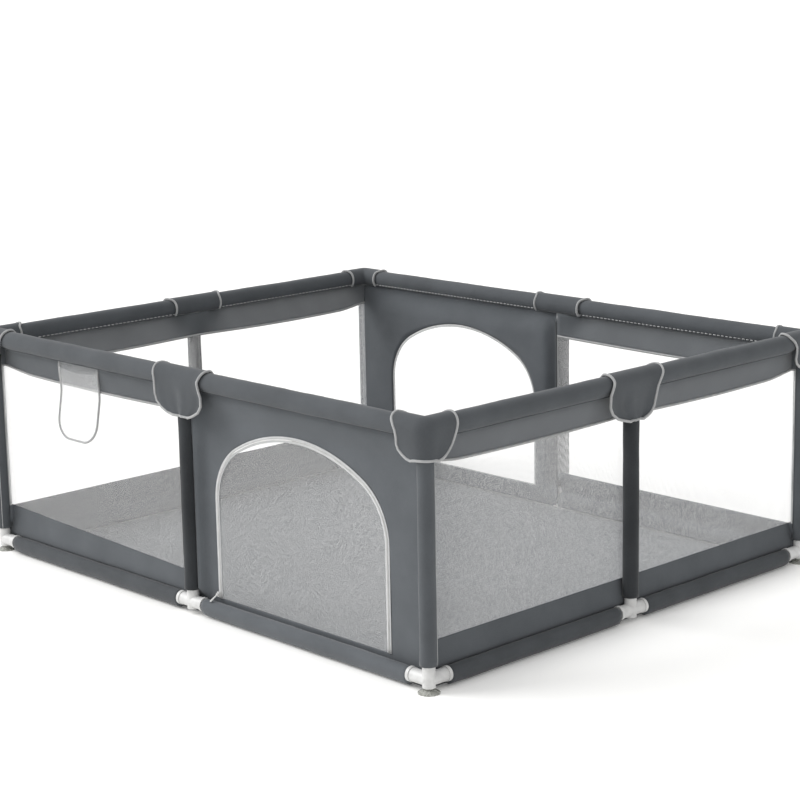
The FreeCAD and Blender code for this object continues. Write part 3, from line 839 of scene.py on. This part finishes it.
def make_floor_sheet():
    """Cloth laid on the ground inside the walls, with low folds that run between its corners."""
    reach_x, reach_y = HALF_LENGTH + WALL_OUT + 2 * MM, HALF_DEPTH + WALL_OUT + 2 * MM
    rest = 1.2 * MM

    def place(deep, across):
        x = -reach_x + 2 * reach_x * across
        y = -reach_y + 2 * reach_y * deep
        edge = smooth(min(reach_x - abs(x), reach_y - abs(y)) / (80 * MM))
        fold = 0.5 + 0.5 * ripple((x + y * 0.5, y * 0.3, 0.0), 6.0, 3.0)
        fold += 0.35 * (0.5 + 0.5 * ripple((x * 0.4 - y * 0.2, y * 1.1, 0.0), 10.0, 8.0))
        return Vector((x, y, rest + 5 * MM * fold * edge))

    sheet = sheet_piece("floor_cloth_sheet", 110, 130, place, FLOOR_CLOTH, CLOTH)
    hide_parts("floor_sheet")


make_floor_sheet()

# ---------------------------------------------------------------- storage pocket


def make_pocket():
    """Two layers of net hung under the rail, bound round their open-topped outline."""
    (low_x, _, low_z), (high_x, _, high_z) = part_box("storage_pocket")
    middle, half = (low_x + high_x) / 2, (high_x - low_x) / 2
    corner = 60 * MM  # radius of the lower corners
    drift = -52 * MM  # how far the pocket leans from its head to its foot
    mouth = 590 * MM  # height of the front layer's upper edge

    def outline():
        steps = 14
        line = [(-half, high_z + (low_z + corner - high_z) * step / steps) for step in range(steps)]
        for step in range(steps):
            angle = math.pi + math.pi / 2 * step / steps
            across = -half + corner + corner * math.cos(angle)
            line.append((across, low_z + corner + corner * math.sin(angle)))
        right = [(-across, height) for across, height in reversed(line)]
        return line + [(0.0, low_z)] + right

    def spot(across, height, out):
        lean = drift * ((high_z - height) / (high_z - low_z) - 0.5)
        return on_side("front", middle + across + lean, out, height)

    def layer(name, out_top, out_low, head):
        edge = outline()
        rows = [(abs(across), min(height, head)) for across, height in edge[: len(edge) // 2 + 1]]
        columns = 17
        points = []
        for reach, height in rows:
            for column in range(columns):
                share = -1 + 2 * column / (columns - 1)
                bow = 1 - share * share if head < high_z else 0.0
                level = height - 9 * MM * bow * smooth((height - (head - 30 * MM)) / (30 * MM))
                deep = min(max((high_z - level) / (high_z - low_z), 0.0), 1.0)
                belly = 3.0 * MM * bow * math.sin(math.pi * deep)
                out = out_top + (out_low - out_top) * smooth(deep * 2.2) + belly
                points.append(spot(reach * share, level, out))
        return new_piece(name, points, grid_faces(len(rows), columns), POCKET_NET)

    back = layer("pocket_back_net", WALL_OUT + 19 * MM, WALL_OUT + 3 * MM, high_z)
    front = layer("pocket_front_net", WALL_OUT + 23 * MM, WALL_OUT + 4 * MM, mouth)
    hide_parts("storage_pocket")
    path = []
    for across, height in outline():
        deep = smooth((high_z - height) / (high_z - low_z) * 2.2)
        path.append(spot(across, height, WALL_OUT + (20 - 17 * deep) * MM))
    tube_piece("pocket_binding", [path], 3.1 * MM, PIPING)


make_pocket()

# ---------------------------------------------------------------- rail covers at the posts

COVER_RADIUS = 29.6 * MM
COVER_FOOT = 537 * MM  # lower edge of the middle covers
CORNER_FOOT = 559 * MM  # lower edge of the corner covers
SADDLE_ANGLE = math.radians(226)  # how far a cover goes round its rail
ARC_STEPS = 26  # rows of a cover that lie round its rail
SKIRT_STEPS = 20  # rows of a cover that hang below them

# The covers' left and right edges on their outer sides: heights and distances along the side, in mm.
COVER_EDGES = {
    "front": (
        (
            (664, -98), (645, -92), (630, -87), (612, -87), (585, -91),
            (566, -86), (551, -68), (541, -44), (536, -18),
        ),
        (
            (664, 98), (648, 95), (636, 91), (620, 95), (598, 102),
            (575, 99), (556, 84), (544, 62), (536, 38),
        ),
    ),
    "right": (
        (
            (664, -96), (648, -97), (632, -106), (615, -115), (585, -114),
            (566, -103), (551, -82), (543, -58), (538, -34),
        ),
        (
            (664, 98), (648, 90), (632, 77), (612, 65), (585, 59),
            (566, 56), (552, 47), (543, 34), (538, 16),
        ),
    ),
    "back": (
        (
            (664, -96), (645, -91), (630, -88), (612, -89), (585, -94),
            (566, -90), (551, -70), (542, -46), (537, -20),
        ),
        (
            (664, 97), (648, 92), (632, 88), (615, 91), (590, 95),
            (570, 90), (553, 72), (543, 50), (537, 26),
        ),
    ),
    "left": (
        (
            (664, -97), (648, -92), (632, -87), (614, -90), (590, -98),
            (570, -94), (553, -76), (543, -52), (537, -28),
        ),
        (
            (664, 96), (645, 90), (630, 86), (612, 86), (585, 90),
            (566, 85), (551, 66), (542, 42), (537, 18),
        ),
    ),
}

# How far a corner cover reaches along the side that ends at it and along the one that starts there.
CORNER_EDGES = (
    (
        (664, 92), (652, 86), (640, 76), (625, 68), (608, 66),
        (592, 67), (580, 62), (570, 50), (563, 38), (559, 24),
    ),
    (
        (664, 84), (655, 81), (640, 77), (625, 73), (606, 67),
        (590, 60), (578, 51), (568, 40), (562, 28), (559, 18),
    ),
)


def edge_at(table, height):
    """The edge at a height, in metres, run straight through a table of points in mm, from the top."""
    level = height / MM
    if level >= table[0][0]:
        return table[0][1] * MM
    for (high, at_high), (low, at_low) in zip(table, table[1:]):
        if level >= low:
            share = (high - level) / (high - low)
            return (at_high + (at_low - at_high) * share) * MM
    return table[-1][1] * MM


def cover_profile(foot, tuck):
    """Outward distances and heights from the inner seam over the rail and down the outside."""
    profile = []
    for step in range(ARC_STEPS + 1):
        angle = SADDLE_ANGLE * (1 - step / ARC_STEPS)
        profile.append((COVER_RADIUS * math.cos(angle), TOP_AXIS + COVER_RADIUS * math.sin(angle)))
    for step in range(1, SKIRT_STEPS + 1):
        share = step / SKIRT_STEPS
        out = COVER_RADIUS - tuck * smooth(share * 1.25)
        profile.append((out, TOP_AXIS + (foot - TOP_AXIS) * share))
    return profile


def piping_round(grid, rows, columns):
    """The two side edges and the lower edge of a grid of points, as one path."""
    left = [grid[row * columns] for row in range(rows)]
    lower = grid[(rows - 1) * columns : rows * columns]
    right = [grid[row * columns + columns - 1] for row in reversed(range(rows))]
    path = []
    for point in left + lower[1:-1] + right:
        if not path or (point - path[-1]).length > 1.5 * MM:
            path.append(point)
    return path


def cover_edge(table, height, out, inside):
    """A cover's edge at a point of its profile: by its table outside the rail, to one width inside."""
    inner = smooth(-out / (24 * MM))
    at = edge_at(table, height) if out > 0 else table[0][1] * MM
    return at * (1 - inner) + inside * inner


def hang(row, height):
    """How freely a cover's row hangs, 0 to 1: only those below the rail's middle do."""
    return smooth((TOP_AXIS - height) / (50 * MM)) if row > ARC_STEPS else 0.0


def make_cover(kind, place, points, start, end):
    """One cover, its saddle and flap in one cloth, and its piping."""
    rows = ARC_STEPS + SKIRT_STEPS + 1
    columns = len(points) // rows
    name, flap = f"{kind}_cover_{place}", f"{kind}_flap_{place}"
    piece = new_piece(name, points, grid_faces(rows, columns), COVER_CLOTH, body=None)
    thicken(piece, 1.2 * MM)
    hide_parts(f"{kind}_cover_saddles", flap)
    path = piping_round(points, rows, columns)
    piping = tube_piece(f"{kind}_piping_{place}", [path], 3.5 * MM, PIPING, body=None)
    for part in (piece, piping):
        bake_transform(part)
        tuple(start)
        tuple(end)


def make_middle_cover(side, seed):
    """The cover over a side's middle post, with soft upright folds in its flap."""
    columns = 29
    points = []
    for row, (out, height) in enumerate(cover_profile(COVER_FOOT, 6.5 * MM)):
        below = hang(row, height)
        left, right = (
            cover_edge(table, height, out, inside)
            for table, inside in zip(COVER_EDGES[side], (-86 * MM, 86 * MM))
        )
        for column in range(columns):
            share = column / (columns - 1)
            side_share = 2 * share - 1
            fold = 1.6 * math.sin(6.5 * side_share + seed) + 0.8 * math.sin(13.0 * side_share + 2 * seed)
            stand = 2.6 * MM * side_share**6 * (1.0 if out > 0 else -0.6)
            way_out = out + fold * MM * below + stand
            points.append(on_side(side, left + (right - left) * share, way_out, height))
    start, end = (on_side(side, 0.0, out, TOP_AXIS + COVER_RADIUS) for out in (-2 * MM, 14 * MM))
    make_cover("middle", side, points, start, end)


def corner_path(corner, out, reach_ends, reach_starts):
    """Points round a corner at a distance out from the posts' planes, from one rail to the next."""
    straight, turn = 10, 10
    ends, starts = CORNERS[corner]
    ends_half, starts_half = SIDES[ends][2], SIDES[starts][2]
    inset = 9 * MM  # the bend's centre, in from the post's axis
    outside = out > -inset
    bend = -inset if outside else out - 7 * MM * smooth((-out - inset) / (8 * MM))
    path = []
    for step in range(straight + 1):
        along = -reach_ends + (bend + reach_ends) * step / straight
        path.append(on_side(ends, ends_half + along, out, 0.0))
    first, last = path[-1], on_side(starts, -bend - starts_half, out, 0.0)
    knee = on_side(ends, ends_half + out, out, 0.0)
    for step in range(1, turn):
        share = step / turn
        if outside:
            angle = math.pi / 2 * share
            radius = out + inset
            along = ends_half - inset + radius * math.sin(angle)
            path.append(on_side(ends, along, radius * math.cos(angle) - inset, 0.0))
        else:
            path.append(first.lerp(knee, share).lerp(knee.lerp(last, share), share))
    for step in range(straight + 1):
        along = -bend + (reach_starts + bend) * step / straight
        path.append(on_side(starts, along - starts_half, out, 0.0))
    return path


def make_corner_cover(corner, seed):
    """The cover round a corner post, higher at its tip than beside it."""
    points = []
    for row, (out, height) in enumerate(cover_profile(CORNER_FOOT, 4.5 * MM)):
        below = hang(row, height)
        path = corner_path(corner, out, *(cover_edge(table, height, out, 76 * MM) for table in CORNER_EDGES))
        for column, spot in enumerate(path):
            share = -1 + 2 * column / (len(path) - 1)
            away = Vector((spot.x, spot.y, 0.0)).normalized()
            fold = 0.6 * MM * math.sin(9.0 * share + seed) * below
            rise = 3.5 * MM * (1 - share * share) * below
            points.append(spot + away * fold + UP * (height + rise))
    ends, starts = CORNERS[corner]
    outward = (SIDES[ends][1] + SIDES[starts][1]).normalized()
    post = on_side(ends, SIDES[ends][2], 0.0, TOP_AXIS + COVER_RADIUS)
    axis_point = post - outward * (80 * MM / math.sqrt(2))
    start, end = (axis_point + outward * reach * MM for reach in (18, 46))
    make_cover("corner", corner, points, start, end)


for number, side_name in enumerate(SIDES):
    make_middle_cover(side_name, number)
for number, corner_name in enumerate(CORNERS):
    make_corner_cover(corner_name, number)

# ---------------------------------------------------------------- the CAD pieces that stay


def paint(material, *starts):
    """Gives the CAD nodes whose names start so a finished material."""
    for name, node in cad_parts.items():
        if name.startswith(starts):
            for slot in node.material_slots:
                slot.material = material


paint(WHITE_PLASTIC, "bottom_corner_joint", "bottom_middle_joints", "top_corner_joints", "top_middle_joints")
paint(WHITE_PLASTIC, "zip_slider", "zip_pull")
paint(CUP_VINYL, "suction_cups")
paint(STEEL, "corner_post_front", "corner_post_back", "middle_post_front", "middle_post_back")
paint(STEEL, "middle_post_left", "middle_post_right", "top_rail", "bottom_rail")

# ---------------------------------------------------------------- studio floor, light and camera


def make_stage():
    """The studio's white floor."""
    nodes = Nodes("studio_floor")
    cloud = nodes.noise(1.5, 3.0)
    color = nodes.ramp(cloud, (0.3, (0.93, 0.925, 0.91)), (0.7, (0.955, 0.952, 0.94)))
    glow = {"Emission Color": (1.0, 1.0, 0.99, 1.0), "Emission Strength": 0.09}
    material = nodes.finish(nodes.skin(color, 0.6, {"Specular IOR Level": 0.2, **glow}))
    reach = 500.0  # metres
    points = [(-reach, -reach, 0), (reach, -reach, 0), (reach, reach, 0), (-reach, reach, 0)]
    mesh = bpy.data.meshes.new("floor")
    mesh.from_pydata(points, [], [(0, 1, 2, 3)])
    mesh.materials.append(material)
    floor = bpy.data.objects.new("floor", mesh)
    bpy.context.scene.collection.objects.link(floor)


def make_light():
    """Even white light all round and one soft sun."""
    world = bpy.data.worlds.new("studio")
    world.use_nodes = True
    background = world.node_tree.nodes["Background"]
    background.inputs["Color"].default_value = (1.0, 1.0, 1.0, 1.0)
    background.inputs["Strength"].default_value = 0.85
    bpy.context.scene.world = world
    data = bpy.data.lights.new("key", "SUN")
    data.angle = math.radians(40)
    data.energy = 2.3
    lamp = bpy.data.objects.new("key", data)
    toward = Vector((0.62, 0.5, -0.62))
    lamp.matrix_world = toward.to_track_quat("-Z", "Y").to_matrix().to_4x4()
    bpy.context.scene.collection.objects.link(lamp)


def make_camera():
    """Looks at the near corner from a little above, as fitted to the posts, rails and feet."""
    place = Vector((4.2295, -3.9748, 1.7091))
    turn, tilt, roll = math.radians(46.500), math.radians(12.186), math.radians(-1.093)
    ahead = Vector((-math.sin(turn) * math.cos(tilt), math.cos(turn) * math.cos(tilt), -math.sin(tilt)))
    level = Vector((math.cos(turn), math.sin(turn), 0.0))
    above = level.cross(ahead)
    right = level * math.cos(roll) + above * math.sin(roll)
    top = above * math.cos(roll) - level * math.sin(roll)
    data = bpy.data.cameras.new("camera")
    data.lens = 94.55
    data.sensor_width = 36.0
    data.clip_end = 1500.0
    camera = bpy.data.objects.new("camera", data)
    bpy.context.scene.collection.objects.link(camera)
    matrix = Matrix((right, top, -ahead)).transposed().to_4x4()
    matrix.translation = place
    camera.matrix_world = matrix
    bpy.context.scene.camera = camera


make_stage()
make_light()
make_camera()
bpy.context.scene.view_settings.view_transform = "Standard"
